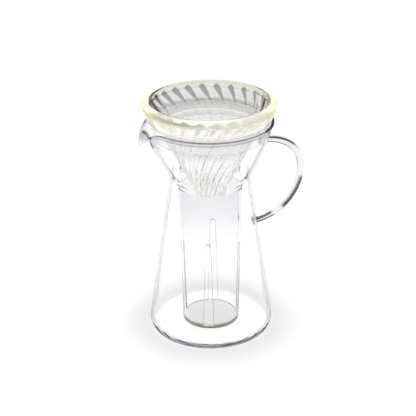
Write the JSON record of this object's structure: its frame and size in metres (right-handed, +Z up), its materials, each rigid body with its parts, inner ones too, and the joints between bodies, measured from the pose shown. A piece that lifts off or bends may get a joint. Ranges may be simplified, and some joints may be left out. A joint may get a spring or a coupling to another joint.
{
  "type": "pour over coffee server with dripper and ice strainer",
  "caption": "Waisted clear glass server with a turned-out spout and rod loop handle, holding a tall slotted ice strainer and a spiral-ribbed conical dripper with a tapered collar.",
  "frame": {"origin": "centre of the server's underside, on the surface it stands on", "axes": "+Z up along the common axis, the spout towards -X and the handle towards +X"},
  "size_m": [0.1782, 0.1334, 0.248],
  "materials": {
    "server_glass": "clear, polished",
    "handle_glass": "clear, fire polished",
    "dripper_clear": "clear, glossy",
    "collar_clear": "clear with a warm yellow tint where thick, glossy",
    "strainer_clear": "clear, glossy",
    "strainer_floor_clear": "clear, faintly yellow-grey"
  },
  "bodies": {
    "server": {"server_bowl": "server_glass", "server_handle": "handle_glass"},
    "strainer": {"strainer_tube": "strainer_clear", "strainer_seat": "strainer_clear", "strainer_floor": "strainer_floor_clear"},
    "dripper": {"dripper_cone": "dripper_clear", "dripper_collar": "collar_clear"}
  },
  "joints": [
    {"name": "strainer_lift", "type": "slide", "parent": "server", "child": "strainer", "axis": [0, 0, 1], "range_m": [0, 0.235]},
    {"name": "dripper_lift", "type": "slide", "parent": "strainer", "child": "dripper", "axis": [0, 0, 1], "range_m": [0, 0.1]}
  ]
}
